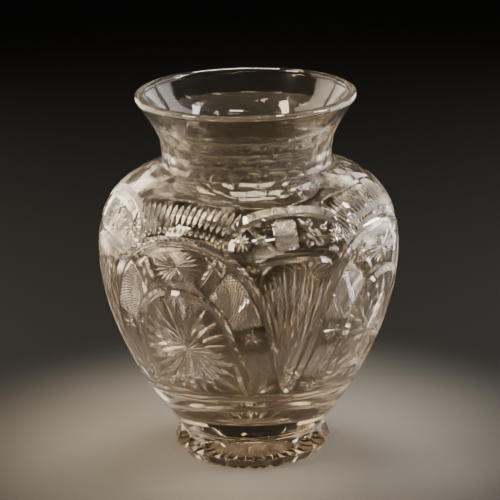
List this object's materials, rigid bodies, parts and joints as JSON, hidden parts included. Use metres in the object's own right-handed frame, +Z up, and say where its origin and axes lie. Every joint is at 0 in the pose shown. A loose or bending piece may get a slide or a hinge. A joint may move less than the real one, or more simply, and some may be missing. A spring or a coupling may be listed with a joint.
{
  "type": "cut crystal vase",
  "caption": "Footed urn-shaped cut crystal vase with a round belly, waisted neck, flared lip, joining wafer and fluted foot.",
  "frame": {"origin": "centre of the foot's resting plane, on the table", "axes": "+Z up along the vase's axis of revolution; -Y is the side seen from the front; +X to the right of it"},
  "size_m": [0.246, 0.246, 0.305],
  "materials": {
    "vessel_crystal": "clear lead crystal, polished, with satin cuts",
    "wafer_crystal": "clear lead crystal, fire polished",
    "foot_crystal": "clear lead crystal, polished cuts"
  },
  "bodies": {
    "root": {"vessel": "vessel_crystal", "wafer": "wafer_crystal", "foot": "foot_crystal"}
  },
  "joints": []
}
